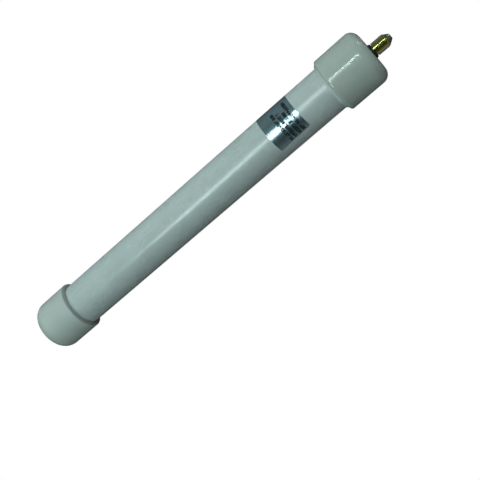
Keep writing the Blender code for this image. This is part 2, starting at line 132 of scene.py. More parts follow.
# ---- Sizes of the sealant, in the mouth of the feed cap ----
SEALANT_SIDES = 240
SEALANT_SINK = 0.2 * MM
SEALANT_EDGE = 0.25 * MM
SEALANT_FOOT = 0.15 * MM                # height of the step at its outer edge
SEALANT_RISE = 1.1 * MM
SEALANT_CURVE = 2.4
SEALANT_UNDER = 0.05 * MM               # how far it reaches under the pipe's skin
SEALANT_OVER = 0.03 * MM                # and how thin it ends on it
WAVES = 3.1                             # how quickly its edge wavers round the pipe
FINE_WAVES = 2.7                        # how many times quicker the finer waves are
WAVE_OUT = 0.07                         # waves and lump, outwards and up, in millimetres
WAVE_UP = 0.34
LUMP_AT = radians(8.0)
LUMP_SPREAD = 0.10
LUMP_OUT = 1.3
LUMP_UP = 0.4

# ---- Sizes of the end pad ----
PAD_SIDES = 120
PAD_EDGE = 0.7 * MM
PAD_BULGE = 0.25 * MM
PAD_RINGS = 12
CELLS_PER_METRE = 900.0
CELL_DEPTH = 0.25                       # in millimetres

# ---- Sizes of the label ----
LABEL_SKEW = radians(2.8)               # the label was stuck on a little crooked
LABEL_MIDDLE_Z = 47.25 * MM
LABEL_HEIGHT = 16.7 * MM
LABEL_LENGTH = 34.7 * MM
LABEL_START_ARC = 37.5 / 360.0 * tau * PIPE_R      # its near edge, along the girth from -Y to -X
LABEL_LIFT = 0.03 * MM
LABEL_THICK = 0.07 * MM
LABEL_COLUMNS = 100
LABEL_ROWS = 12
PRINT_SEED = 7
PRINT_MARGIN = 0.6 * MM
PRINT_SINK = 0.01 * MM
PRINT_LIFT = 0.015 * MM
# ranges that the blocks are drawn from, in millimetres
BLOCK_WIDTH = (0.30, 1.1)
BLOCK_HALF_HEIGHT = (0.73, 0.95)
BLOCK_WANDER = (-0.08, 0.08)
BLOCK_SPLIT = (-0.30, 0.30)
BLOCK_SPACE = (0.06, 0.18)
WORD_SPACE = (0.4, 0.8)
# a draw below each limit makes a block of two halves, then a low one, then a high one
SPLIT_LIMIT = 0.18
LOW_LIMIT = 0.34
HIGH_LIMIT = 0.46
HALVES_GAP = 0.10 * MM
CUT_REACH = 0.2 * MM
# height of each line, where it ends round the pipe, and how closely it is printed
PRINT_LINES = (
    (48.65 * MM, 9.0 * MM, 0.88),
    (46.35 * MM, 7.2 * MM, 0.86),
    (44.05 * MM, 5.6 * MM, 0.84),
    (41.75 * MM, 10.2 * MM, 0.92),
)


# ---- Mesh helpers ----
CRISP_ANGLE = 35.0                      # edges sharper than this many degrees stay sharp
SOFT_ANGLE = 60.0
ON_AXIS = 1e-9                          # a point nearer the axis than this is a single vertex on it


def to_object(name, bm, smooth_angle=CRISP_ANGLE):
    mesh = bpy.data.meshes.new(name)
    bmesh.ops.recalc_face_normals(bm, faces=bm.faces)
    bm.to_mesh(mesh)
    bm.free()
    mesh.shade_smooth()
    mesh.set_sharp_from_angle(angle=radians(smooth_angle))
    made = bpy.data.objects.new(name, mesh)
    bpy.context.scene.collection.objects.link(made)
    return made


def arc(centre_r, centre_z, radius, start, end, steps):
    """Points (r, z) of an arc, its angles in degrees from +r towards +z."""
    points = []
    for i in range(steps + 1):
        angle = radians(start + (end - start) * i / steps)
        points.append((centre_r + radius * cos(angle), centre_z + radius * sin(angle)))
    return points


def lathe(name, outline, sides, shift=None, smooth_angle=CRISP_ANGLE):
    """Turn a closed (r, z) outline; shift(angle, r, z) may move each point to a new (r, z)."""
    bm = bmesh.new()
    rings = []
    for r, z in outline:
        if r < ON_AXIS:
            rings.append([bm.verts.new((0.0, 0.0, z))])
            continue
        ring = []
        for k in range(sides):
            angle = tau * k / sides
            new_r, new_z = shift(angle, r, z) if shift else (r, z)
            ring.append(bm.verts.new((new_r * cos(angle), new_r * sin(angle), new_z)))
        rings.append(ring)
    closed = all(len(ring) > 1 for ring in rings)
    for i in range(len(rings) if closed else len(rings) - 1):
        near, far = rings[i], rings[(i + 1) % len(rings)]
        for k in range(sides):
            n = (k + 1) % sides
            if len(near) == 1:
                bm.faces.new((near[0], far[n], far[k]))
            elif len(far) == 1:
                bm.faces.new((near[k], near[n], far[0]))
            else:
                bm.faces.new((near[k], near[n], far[n], far[k]))
    return to_object(name, bm, smooth_angle)


def dress(piece, look, slot_name, body, *nodes):
    """Give a piece its material, its body and the CAD nodes it stands for. Its record slot, slot_name,
    is not used.
    """
    piece.data.materials.append(look)
    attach(piece, body)
    if nodes:
        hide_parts(*nodes)


# ---- Materials ----
# each plastic's colour and the tone of its dirt
PIPE_TONES = ((0.60, 0.63, 0.615), (0.515, 0.54, 0.525))
# the caps are one PVC in two brightnesses: the feed cap's tones are darkened and the far cap's
# lightened, painted shade and painted light for how the lamps fall on the two ends
FEED_CAP_SHADED_TONES = ((0.52, 0.545, 0.495), (0.45, 0.485, 0.435))
FAR_CAP_LIT_TONES = ((0.61, 0.62, 0.58), (0.525, 0.55, 0.51))
# scale of each pattern in the plastics and the foil, per metre
CLOUDS = 82.0
SPECKS = 1050.0
LINES = 490.0
SCUFFS = 187.0
SKIN = 3050.0
FOIL_GRAIN = 2110.0
FOIL_STAINS = 141.0
FOIL_RIPPLES = 258.0
# the painted shade at a cap's mouth, a dark band that stands in for the shadow at the lip: where it
# fades, below and above the bevel's top, and its strength
MOUTH_SHADE_BELOW = 0.2 * MM
MOUTH_SHADE_ABOVE = 0.4 * MM
MOUTH_SHADE_SHARE = 0.6
# how a plastic's fine lines are stretched
DRAWN = (1.0, 1.0, 0.01)
MOULDED = (0.6, 0.6, 0.6)
# name, colour, second tone, roughness, grain per metre, metallic, strength of its relief
PLAIN_FINISHES = (
    ("silicone", (0.70, 0.73, 0.68), (0.62, 0.65, 0.61), 0.30, 300.0, 0.0, 0.1),
    ("black_rubber", (0.012, 0.013, 0.012), (0.025, 0.026, 0.024), 0.5, 1500.0, 0.0, 0.1),
    ("ptfe", (0.85, 0.85, 0.82), (0.78, 0.78, 0.74), 0.45, 700.0, 0.0, 0.1),
    ("epoxy", (0.62, 0.52, 0.32), (0.48, 0.38, 0.20), 0.18, 350.0, 0.0, 0.1),
    ("nickel", (0.66, 0.64, 0.60), (0.50, 0.48, 0.44), 0.24, 900.0, 1.0, 0.1),
    ("shrink", (0.018, 0.018, 0.02), (0.03, 0.03, 0.033), 0.45, 600.0, 0.0, 0.1),
    ("jacket", (0.025, 0.025, 0.027), (0.04, 0.04, 0.042), 0.42, 500.0, 0.0, 0.1),
    ("polyethylene", (0.80, 0.80, 0.76), (0.72, 0.72, 0.67), 0.4, 500.0, 0.0, 0.1),
    ("core_copper", (0.80, 0.40, 0.22), (0.58, 0.26, 0.13), 0.26, 900.0, 1.0, 0.1),
    ("ferrite", (0.045, 0.045, 0.05), (0.075, 0.075, 0.08), 0.55, 1200.0, 0.0, 0.1),
    ("solder", (0.72, 0.72, 0.72), (0.52, 0.52, 0.53), 0.22, 700.0, 1.0, 0.1),
    ("foam", (0.80, 0.80, 0.77), (0.62, 0.62, 0.60), 0.9, 1400.0, 0.0, 0.9),
)


class Look:
    """A Principled material with the few node chains that the finishes share."""

    def __init__(self, name, colour, roughness, metallic=0.0):
        self.material = bpy.data.materials.new(name)
        self.material.use_nodes = True
        self.tree = self.material.node_tree
        self.shader = self.tree.nodes["Principled BSDF"]
        self.set("Base Color", (*colour, 1.0))
        self.set("Roughness", roughness)
        self.set("Metallic", metallic)
        self.place = self.node("ShaderNodeTexCoord").outputs["Object"]
        self.height = None

    def node(self, kind, **values):
        made = self.tree.nodes.new(kind)
        for key, value in values.items():
            setattr(made, key, value)
        return made

    def link(self, source, target):
        self.tree.links.new(source, target)

    def set(self, socket, value):
        self.shader.inputs[socket].default_value = value

    def stretched(self, scale):
        mapping = self.node("ShaderNodeMapping")
        mapping.inputs["Scale"].default_value = scale
        self.link(self.place, mapping.inputs["Vector"])
        return mapping.outputs["Vector"]

    def noise(self, scale, detail, stretch=(1.0, 1.0, 1.0), distortion=0.0):
        made = self.node("ShaderNodeTexNoise")
        made.inputs["Scale"].default_value = scale
        made.inputs["Detail"].default_value = detail
        made.inputs["Distortion"].default_value = distortion
        self.link(self.stretched(stretch), made.inputs["Vector"])
        return made.outputs["Fac"]

    def ranged(self, source, low, high, out_low, out_high):
        made = self.node("ShaderNodeMapRange")
        made.inputs["From Min"].default_value = low
        made.inputs["From Max"].default_value = high
        made.inputs["To Min"].default_value = out_low
        made.inputs["To Max"].default_value = out_high
        self.link(source, made.inputs["Value"])
        return made.outputs["Result"]

    def mixed(self, factor, first, second):
        """Mix two colours, each a tuple or a socket, by a factor socket."""
        made = self.node("ShaderNodeMix", data_type="RGBA")
        self.link(factor, made.inputs["Factor"])
        for socket, colour in ((made.inputs[6], first), (made.inputs[7], second)):
            if isinstance(colour, tuple):
                socket.default_value = (*colour, 1.0)
            else:
                self.link(colour, socket)
        return made.outputs[2]

    def edge_on_sheen(self):
        """Rises from nought to one where the surface turns away from the eye: the mask of a painted
        edge reflection.
        """
        facing = self.node("ShaderNodeLayerWeight")
        return self.ranged(facing.outputs["Facing"], 0.22, 0.62, 0.0, 1.0)

    def colour(self, socket):
        self.link(socket, self.shader.inputs["Base Color"])

    def roughness(self, socket):
        self.link(socket, self.shader.inputs["Roughness"])

    def bump(self, height, strength, distance):
        """Add a bump layer on top of those already there."""
        made = self.node("ShaderNodeBump")
        made.inputs["Strength"].default_value = strength
        made.inputs["Distance"].default_value = distance
        self.link(height, made.inputs["Height"])
        if self.height is not None:
            self.link(self.height, made.inputs["Normal"])
        self.height = made.outputs["Normal"]
        self.link(self.height, self.shader.inputs["Normal"])


def plastic(name, colour, dirt, roughness, streak, shaded_mouth_z=None):
    """Rigid PVC: faint clouding, specks, fine lines, scuffs and a fine skin, and painted shade at a
    mouth.
    """
    look = Look(name, colour, roughness)
    look.set("IOR", 1.53)
    clouds = look.ranged(look.noise(CLOUDS, 4.0), 0.35, 0.70, 0.0, 0.55)
    tinted = look.mixed(clouds, colour, dirt)
    specks = look.ranged(look.noise(SPECKS, 2.0), 0.66, 0.74, 0.0, 0.35)
    tone = look.mixed(specks, tinted, tuple(0.6 * c for c in dirt))
    # painted shade: the bevel and a little above it are darkened towards a dark tone, for the shadow
    # under the cap's lip
    if shaded_mouth_z is not None:
        axes = look.node("ShaderNodeSeparateXYZ")
        look.link(look.place, axes.inputs["Vector"])
        low = shaded_mouth_z - MOUTH_SHADE_BELOW
        high = shaded_mouth_z + MOUTH_SHADE_ABOVE
        mouth_shade = look.ranged(axes.outputs["Z"], low, high, MOUTH_SHADE_SHARE, 0.0)
        tone = look.mixed(mouth_shade, tone, tuple(0.25 * c for c in dirt))
    look.colour(tone)
    lines = look.noise(LINES, 2.0, streak)
    scuffs = look.noise(SCUFFS, 5.0, (1.0, 1.0, 0.5), 1.5)
    worn = look.ranged(scuffs, 0.48, 0.72, roughness - 0.03, roughness + 0.09)
    look.roughness(worn)
    look.bump(lines, 0.06, 0.04 * MM)
    look.bump(look.noise(SKIN, 3.0), 0.05, 0.03 * MM)
    look.bump(scuffs, 0.02, 0.08 * MM)
    return look.material


def simple(name, colour, other, roughness, grain, metallic, relief):
    """A plain finish with its own grain: two tones, uneven gloss and a fine relief."""
    look = Look(name, colour, roughness, metallic)
    pattern = look.noise(grain, 4.0)
    look.colour(look.mixed(look.ranged(pattern, 0.35, 0.65, 0.0, 1.0), colour, other))
    look.roughness(look.ranged(pattern, 0.3, 0.7, roughness - 0.06, roughness + 0.10))
    look.bump(look.noise(grain * 3.0, 3.0), relief, 0.05 * MM)
    return look.material


def foil():
    """Satin silver label foil: fine rolled grain, faint stains and soft ripples."""
    look = Look("foil", (0.58, 0.77, 0.84), 0.20, 1.0)
    grain = look.noise(FOIL_GRAIN, 3.0, (1.0, 1.0, 0.06))
    stains = look.ranged(look.noise(FOIL_STAINS, 4.0), 0.4, 0.7, 0.0, 0.5)
    look.colour(look.mixed(stains, (0.60, 0.79, 0.86), (0.46, 0.63, 0.69)))
    look.roughness(look.ranged(grain, 0.3, 0.7, 0.17, 0.27))
    look.bump(look.noise(FOIL_RIPPLES, 2.0, (1.0, 1.0, 0.5)), 0.16, 0.12 * MM)
    look.bump(grain, 0.05, 0.02 * MM)
    return look.material


def ink():
    """Dark printing ink, a little uneven, which shines less than the foil."""
    look = Look("ink", (0.006, 0.012, 0.015), 0.35)
    look.set("Specular IOR Level", 0.25)
    patches = look.noise(1100.0, 3.0)
    look.colour(look.mixed(patches, (0.004, 0.010, 0.013), (0.012, 0.022, 0.026)))
    look.bump(patches, 0.08, 0.02 * MM)
    return look.material


def gilding(name, colour, worn, roughness):
    """Thin gold plating over brass, with turning marks and patches of tarnish."""
    look = Look(name, colour, roughness, 1.0)
    tarnish = look.ranged(look.noise(700.0, 3.0), 0.45, 0.75, 0.0, 0.3)
    tone = look.mixed(tarnish, colour, worn)
    turning = look.noise(2580.0, 2.0, (0.15, 0.15, 1.0))
    look.roughness(look.ranged(turning, 0.3, 0.7, roughness - 0.05, roughness + 0.10))
    look.bump(turning, 0.06, 0.02 * MM)
    return look, tone


def gold():
    """Gilded thread: clean on its crests, brown dirt in its valleys, and a painted reflection that
    makes it paler and greyer seen edge on.
    """
    look, tone = gilding("gold", (0.72, 0.68, 0.20), (0.52, 0.47, 0.10), 0.13)
    flat = look.node("ShaderNodeVectorMath", operation="MULTIPLY")
    flat.inputs[1].default_value = (1.0, 1.0, 0.0)
    look.link(look.place, flat.inputs[0])
    radius = look.node("ShaderNodeVectorMath", operation="LENGTH")
    look.link(flat.outputs["Vector"], radius.inputs[0])
    crest = look.ranged(radius.outputs["Value"], THREAD_ROOT_R, THREAD_R, 0.0, 1.0)
    clean = look.mixed(crest, (0.30, 0.28, 0.05), tone)
    # painted reflection: towards the edges the colour turns a pale grey-brown, for the light
    # surroundings mirrored there
    look.colour(look.mixed(look.edge_on_sheen(), clean, (0.88, 0.80, 0.70)))
    return look.material


def worn_darkened_nose():
    """The jack's nose, its gilding rubbed through to the grey metal by the plugs, its colour darkened
    far below bare metal as painted shade.
    """
    # painted shade: the worn grey metal is given a very dark tone, for the dark the nose reflects from
    # below
    look, tone = gilding("nose", (0.24, 0.235, 0.20), (0.17, 0.16, 0.10), 0.17)
    look.colour(tone)
    return look.material


def board_copper():
    look, tone = gilding("board_copper", (0.88, 0.68, 0.22), (0.62, 0.40, 0.16), 0.22)
    look.colour(tone)
    return look.material


def fibreglass():
    """Green mask over a woven glass laminate."""
    look = Look("fibreglass", (0.03, 0.20, 0.09), 0.32)
    look.set("Coat Weight", 0.3)
    weave = look.node("ShaderNodeTexChecker")
    weave.inputs["Scale"].default_value = 1400.0
    look.link(look.place, weave.inputs["Vector"])
    soft = look.noise(351.0, 2.0)
    look.colour(look.mixed(soft, (0.025, 0.17, 0.075), (0.04, 0.25, 0.11)))
    look.roughness(look.ranged(soft, 0.3, 0.7, 0.26, 0.40))
    look.bump(weave.outputs["Fac"], 0.05, 0.02 * MM)
    return look.material


def braid():
    """Tinned wires laid in two crossing spirals."""
    look = Look("braid", (0.66, 0.62, 0.55), 0.38, 1.0)
    heights = []
    for lean in (1.0, -1.0):
        turn = look.node("ShaderNodeMapping")
        turn.inputs["Rotation"].default_value = (0.0, radians(40.0 * lean), 0.0)
        look.link(look.place, turn.inputs["Vector"])
        wave = look.node("ShaderNodeTexWave")
        wave.inputs["Scale"].default_value = 900.0
        look.link(turn.outputs["Vector"], wave.inputs["Vector"])
        heights.append(wave.outputs["Fac"])
    both = look.node("ShaderNodeMath", operation="MAXIMUM")
    look.link(heights[0], both.inputs[0])
    look.link(heights[1], both.inputs[1])
    look.colour(look.mixed(both.outputs[0], (0.30, 0.27, 0.23), (0.74, 0.71, 0.66)))
    look.bump(both.outputs[0], 0.6, 0.10 * MM)
    return look.material


def make_looks():
    looks = {
        "pipe_pvc": plastic("pipe_pvc", *PIPE_TONES, 0.27, DRAWN),
        # the two caps: the same PVC, painted darker at the feed end and lighter at the far end
        "cap_pvc": plastic("cap_pvc", *FEED_CAP_SHADED_TONES, 0.145, MOULDED),
        "far_cap_lit_pvc": plastic("far_cap_lit_pvc", *FAR_CAP_LIT_TONES, 0.2, MOULDED, TOP_LOW.z + TOP_LIP_RISE),
        "foil": foil(),
        "ink": ink(),
        "gold": gold(),
        "nose": worn_darkened_nose(),
        "braid": braid(),
        "fibreglass": fibreglass(),
        "board_copper": board_copper(),
    }
    for name, *finish in PLAIN_FINISHES:
        looks[name] = simple(name, *finish)
    return looks


# ---- Housing ----
def make_pipe(looks):
    """Extruded pipe with saw-cut ends, their edges broken by hand."""
    low = PIPE_LOW.z
    high = PIPE_HIGH.z
    outline = [(BORE_R, low + PIPE_EDGE), (BORE_R + PIPE_EDGE, low)]
    outline += [(PIPE_R - PIPE_EDGE, low), (PIPE_R, low + PIPE_EDGE)]
    for i in range(1, PIPE_STATIONS):
        outline.append((PIPE_R, low + (high - low) * i / PIPE_STATIONS))
    outline += [(PIPE_R, high - PIPE_EDGE), (PIPE_R - PIPE_EDGE, high)]
    outline += [(BORE_R + PIPE_EDGE, high), (BORE_R, high - PIPE_EDGE)]
    pipe = lathe("pipe", outline, HOUSING_SIDES)
    dress(pipe, looks["pipe_pvc"], "pipe_pvc", "antenna", "radome_tube")


def make_base_cap(looks):
    """Moulded slip cap: domed and slightly oblique end, full corner radius, rounded mouth."""
    hole_r = THREAD_R + HOLE_PLAY
    corner_r = BASE_R - BASE_CORNER
    outline = [(hole_r, BASE_FLOOR), (hole_r, HOLE_EDGE), (hole_r + HOLE_EDGE, 0.0)]
    steps = 8
    for i in range(1, steps):
        outline.append((hole_r + (corner_r - hole_r) * i / steps, 0.0))
    outline += arc(corner_r, BASE_CORNER, BASE_CORNER, -90.0, 0.0, 20)
    outline += [(BASE_R, BASE_CORNER + RING_GAP), (BASE_R, BASE_HIGH.z - BASE_LIP - RING_GAP)]
    outline += arc(BASE_R - BASE_LIP, BASE_HIGH.z - BASE_LIP, BASE_LIP, 0.0, 90.0, 8)
    outline += [(SOCKET_R + BASE_CHAMFER, BASE_HIGH.z), (SOCKET_R, BASE_HIGH.z - BASE_CHAMFER)]
    outline += [(SOCKET_R, BASE_FLOOR)]
    face_r = hole_r + 0.2 * MM          # inside this the face stays flat

    def domed(angle, r, z):
        inside = z >= BASE_FLOOR and r <= SOCKET_R
        if z >= BASE_CORNER or r < face_r or inside:
            return r, z
        lean = BASE_DOME_EVEN + BASE_DOME_LEAN * cos(angle)
        fall = BASE_DOME * lean * ((r - hole_r) / (BASE_R - hole_r)) ** 2
        return r, z + fall * (1.0 - z / BASE_CORNER)

    cap = lathe("feed_cap", outline, HOUSING_SIDES, domed)
    dress(cap, looks["cap_pvc"], "cap_pvc", "antenna", "base_cap")


def make_top_cap(looks):
    """Moulded slip cap with a bevelled mouth, a well-rounded end and the stub of its mould gate."""
    corner_r = TOP_R - TOP_CORNER
    corner_z = TOP_HIGH.z - TOP_CORNER
    floor_z = TOP_HIGH.z - TOP_FLOOR
    mouth = TOP_LOW.z
    lip = mouth + TOP_LIP_RISE
    end = TOP_HIGH.z
    inner = TOP_INNER_CORNER
    outline = [(0.0, floor_z)]
    outline += arc(SOCKET_R - inner, floor_z - inner, inner, 90.0, 0.0, 8)
    outline += [(SOCKET_R, mouth + TOP_CHAMFER), (SOCKET_R + TOP_CHAMFER, mouth)]
    outline += [(TOP_R - TOP_LIP_DEPTH, mouth), (TOP_R - TOP_LIP_ROUND, lip)]
    outline += [(TOP_R, lip + TOP_LIP_SETTLE), (TOP_R, lip + TOP_LIP_RING)]
    outline += [(TOP_R, corner_z - RING_GAP)]
    outline += arc(corner_r, corner_z, TOP_CORNER, 0.0, 90.0, 28)
    outline += [(GATE_GROOVE_R, end), (GATE_GROOVE_FLOOR_R, end - GATE_GROOVE)]
    outline += [(GATE_R, end - GATE_GROOVE), (GATE_R - GATE_GROOVE, end + GATE_RISE)]
    outline += [(0.0, end + GATE_RISE)]
    cap = lathe("end_cap", outline, HOUSING_SIDES)
    dress(cap, looks["far_cap_lit_pvc"], "cap_pvc", "top_cap", "top_cap")


def make_sealant(looks):
    """Silicone wiped round the mouth of the feed cap, uneven, with a lump where the wipe ended."""
    foot = BASE_HIGH.z - SEALANT_SINK
    outer = BASE_R - BASE_LIP
    buried_r = PIPE_R - SEALANT_UNDER
    outline = [(buried_r, foot), (outer - SEALANT_EDGE, foot), (outer, foot + SEALANT_FOOT)]
    steps = 12
    for i in range(steps + 1):
        share = i / steps
        r = outer - (outer - PIPE_R - SEALANT_OVER) * share
        climb = 0.6 * share + 0.4 * share ** SEALANT_CURVE
        outline.append((r, foot + SEALANT_EDGE + SEALANT_RISE * climb))
    outline.append((buried_r, foot + SEALANT_EDGE + SEALANT_RISE))
    skin_r = PIPE_R + 0.01 * MM

    def uneven(angle, r, z):
        if r < skin_r:
            return r, z
        share = (z - foot) / SEALANT_RISE
        where = Vector((cos(angle) * WAVES, sin(angle) * WAVES, 0.0))
        wave = noise.noise(where) * 0.5 + noise.noise(where * FINE_WAVES) * 0.25
        turn = (angle - LUMP_AT + pi) % tau - pi
        lump = exp(-(turn / LUMP_SPREAD) ** 2)
        r += share * (WAVE_OUT * wave + LUMP_OUT * lump * (1.0 - abs(2.0 * share - 1.0))) * MM
        z += share * (WAVE_UP * wave + LUMP_UP * lump) * MM
        return r, z

    bead = lathe("sealant", outline, SEALANT_SIDES, uneven, SOFT_ANGLE)
    dress(bead, looks["silicone"], "silicone", "antenna", "sealant_bead")


# ---- Label ----
def on_pipe(along, up, lift):
    """A point on the pipe: along its girth from -Y towards +X, up from the label's middle."""
    turned = Matrix.Rotation(LABEL_SKEW, 2) @ Vector((along, up))
    angle = -pi / 2 + turned.x / PIPE_R
    r = PIPE_R + lift
    return r * cos(angle), r * sin(angle), LABEL_MIDDLE_Z + turned.y


def bent_box(bm, start, end, low, high, base, top, pieces, rows=1):
    """A thin box wrapped on the pipe, from start to end round it and from low to high along it."""
    corners = [(low, base)]
    corners += [(low + (high - low) * j / rows, top) for j in range(rows + 1)]
    corners += [(high, base)]
    sections = []
    for i in range(pieces + 1):
        along = start + (end - start) * i / pieces
        sections.append([bm.verts.new(on_pipe(along, up, lift)) for up, lift in corners])
    for near, far in zip(sections, sections[1:]):
        for k in range(len(corners)):
            n = (k + 1) % len(corners)
            bm.faces.new((near[k], near[n], far[n], far[k]))
    bm.faces.new(sections[0])
    bm.faces.new(reversed(sections[-1]))


def print_spans(draw, middle):
    """One block of a line of print, as spans of height: whole, in two halves, low or high."""
    tall = draw.uniform(*BLOCK_HALF_HEIGHT) * MM
    centre = middle + draw.uniform(*BLOCK_WANDER) * MM
    split = centre + draw.uniform(*BLOCK_SPLIT) * MM
    shape = draw.random()
    if shape < SPLIT_LIMIT:
        return (centre - tall, split - HALVES_GAP), (split + HALVES_GAP, centre + tall)
    if shape < LOW_LIMIT:
        return ((centre - tall, split + CUT_REACH),)
    if shape < HIGH_LIMIT:
        return ((split - CUT_REACH, centre + tall),)
    return ((centre - tall, centre + tall),)


def make_label(looks):
    """Foil sheet, and a print of plain blocks in four lines that stands for small type."""
    bm = bmesh.new()
    start = -LABEL_START_ARC
    end = start + LABEL_LENGTH
    half = LABEL_HEIGHT / 2
    under = LABEL_LIFT - LABEL_THICK
    bent_box(bm, start, end, -half, half, under, LABEL_LIFT, LABEL_COLUMNS, LABEL_ROWS)
    sheet = to_object("label_foil", bm)
    dress(sheet, looks["foil"], "foil", "antenna", "label")

    draw = random.Random(PRINT_SEED)
    bm = bmesh.new()
    base = LABEL_LIFT - PRINT_SINK
    top = LABEL_LIFT + PRINT_LIFT
    for line_z, line_end, density in PRINT_LINES:
        middle = line_z - LABEL_MIDDLE_Z
        along = start + PRINT_MARGIN
        while along < line_end:
            width = draw.uniform(*BLOCK_WIDTH) * MM
            for low, high in print_spans(draw, middle):
                bent_box(bm, along, along + width, low, high, base, top, 2)
            along += width + draw.uniform(*BLOCK_SPACE) * MM
            if draw.random() > density:
                along += draw.uniform(*WORD_SPACE) * MM
    blocks = to_object("label_print", bm)
    dress(blocks, looks["ink"], "foil", "antenna")


# ---- Connector ----
def core_radius(z, bottom):
    """The thread's root radius, which narrows into the nose at the thread's lower end."""
    return THREAD_ROOT_R - LEAD_IN_DEPTH * max(0.0, 1.0 - (z - bottom) / LEAD_IN) ** LEAD_IN_CURVE


def thread_ridge(name, bottom, top):
    """The helical ridge of a single-start rolled thread, which runs out at its lower end."""
    bm = bmesh.new()
    sections = []
    steps = int((top - bottom) / THREAD_PITCH * JACK_SIDES)
    for i in range(steps + 1):
        angle = tau * i / JACK_SIDES
        middle = bottom + THREAD_PITCH * i / JACK_SIDES
        foot_r = core_radius(middle, bottom) - THREAD_SINK
        grown = min(1.0, i / (THREAD_RUN_OUT * JACK_SIDES))
        crest_r = foot_r + (THREAD_R - THREAD_ROOT_R + THREAD_SINK) * grown
        section = []
        for offset, on_crest in THREAD_PROFILE:
            r = crest_r if on_crest else foot_r
            z = middle + offset * THREAD_PITCH
            section.append(bm.verts.new((r * cos(angle), -r * sin(angle), z)))
        sections.append(section)
    for near, far in zip(sections, sections[1:]):
        for k in range(len(THREAD_PROFILE) - 1):
            bm.faces.new((near[k], near[k + 1], far[k + 1], far[k]))
    bm.faces.new(sections[0])
    bm.faces.new(reversed(sections[-1]))
    return to_object(name, bm)


def make_connector(looks):
    """Gold jack: bullet nose, threaded barrel through the cap, flange and spigot inside."""
    face = BODY_LOW.z
    bore_r = SLEEVE_HIGH.x + JACK_BORE_PLAY
    nose_top = face + NOSE_PROFILE[-1][1]
    outline = [(bore_r, nose_top), (bore_r, face + JACK_EDGE), (bore_r + JACK_EDGE, face)]
    outline += [(r, face + rise) for r, rise in NOSE_PROFILE]
    nose = lathe("jack_nose", outline, JACK_SIDES)
    dress(nose, looks["nose"], "gold", "antenna")

    thread_top = SEAL_LOW.z - GAP
    flange_high = FLANGE_LOW + FLANGE_THICK
    outline = [(bore_r, BODY_HIGH.z), (bore_r, nose_top)]
    steps = 8
    for i in range(steps + 1):
        z = nose_top + LEAD_IN * i / steps
        outline.append((core_radius(z, nose_top), z))
    outline += [(THREAD_ROOT_R, thread_top), (SEAL_GROOVE_R, thread_top + JACK_EDGE)]
    outline += [(SEAL_GROOVE_R, 0.0), (THREAD_R, 0.0)]
    outline += [(THREAD_R, FLANGE_LOW), (FLANGE_R, FLANGE_LOW), (FLANGE_R, flange_high)]
    outline += [(SPIGOT_R, flange_high), (SPIGOT_R, BODY_HIGH.z)]
    barrel = lathe("jack_barrel", outline, JACK_SIDES)
    dress(barrel, looks["gold"], "gold", "antenna", "sma_body")
    ridge = thread_ridge("jack_thread", nose_top, thread_top)
    dress(ridge, looks["gold"], "gold", "antenna")


def make_seal(looks):
    """Black rubber ring in the groove at the jack's root, squeezed a little wider at the cap."""
    outline = [(SEAL_INNER_R, SEAL_LOW.z)]
    outline += arc(THREAD_R - SEAL_EDGE, SEAL_LOW.z + SEAL_EDGE, SEAL_EDGE, -90.0, -20.0, 5)
    outline += [(SEAL_HIGH.x - SEAL_FLARE, SEAL_FLARE_Z)]
    outline += [(SEAL_HIGH.x, SEAL_TOP_Z), (SEAL_INNER_R, SEAL_TOP_Z)]
    seal = lathe("jack_seal", outline, JACK_SIDES)
    dress(seal, looks["black_rubber"], "black_rubber", "antenna", "connector_seal")


def make_end_pad(looks):
    """Punched foam disc, its rim a little rounded by the push into the pipe."""
    rim_r = PAD_HIGH.x + PAD_BULGE
    outline = [(0.0, PAD_LOW.z), (PAD_HIGH.x, PAD_LOW.z)]
    outline += arc(rim_r - PAD_EDGE, PAD_HIGH.z - PAD_EDGE, PAD_EDGE, 0.0, 90.0, 6)
    for i in range(PAD_RINGS - 1, 0, -1):
        outline.append((PAD_HIGH.x * i / PAD_RINGS, PAD_HIGH.z))
    outline += [(0.0, PAD_HIGH.z)]

    def cells(angle, r, z):
        if z <= PAD_HIGH.z - PAD_EDGE:
            return r, z
        where = Vector((cos(angle) * r, sin(angle) * r, z)) * CELLS_PER_METRE
        return r, z - abs(noise.noise(where)) * CELL_DEPTH * MM

    pad = lathe("end_pad", outline, PAD_SIDES, cells, SOFT_ANGLE)
    dress(pad, looks["foam"], "foam", "antenna", "foam_end_pad")


def dress_frame(looks):
    """Every CAD node that still shows gets its finish."""
    for part in frame["record"]["subparts"]:
        node = frame["nodes"][part["node"]]
        if node.hide_render:
            continue
        if not node.material_slots:
            node.data.materials.append(looks[part["material_slot"]])
        for place in node.material_slots:
            place.material = looks[part["material_slot"]]


# ---- Setting ----
LIGHT_TINT = (0.80, 1.0, 1.0)
SHADE_TINT = (0.58, 1.0, 0.95)
# share of the way from -X to +X, the room's brightness there, and its tint
ROOM_STOPS = (
    (0.0, 0.150, (0.92, 1.0, 1.0)),
    (0.1, 0.085, (0.90, 1.0, 1.0)),
    (0.25, 0.034, (0.85, 1.0, 1.0)),
    (0.45, 0.026, SHADE_TINT),
    (0.6, 0.050, LIGHT_TINT),
    (0.75, 0.088, LIGHT_TINT),
    (1.0, 0.168, LIGHT_TINT),
)
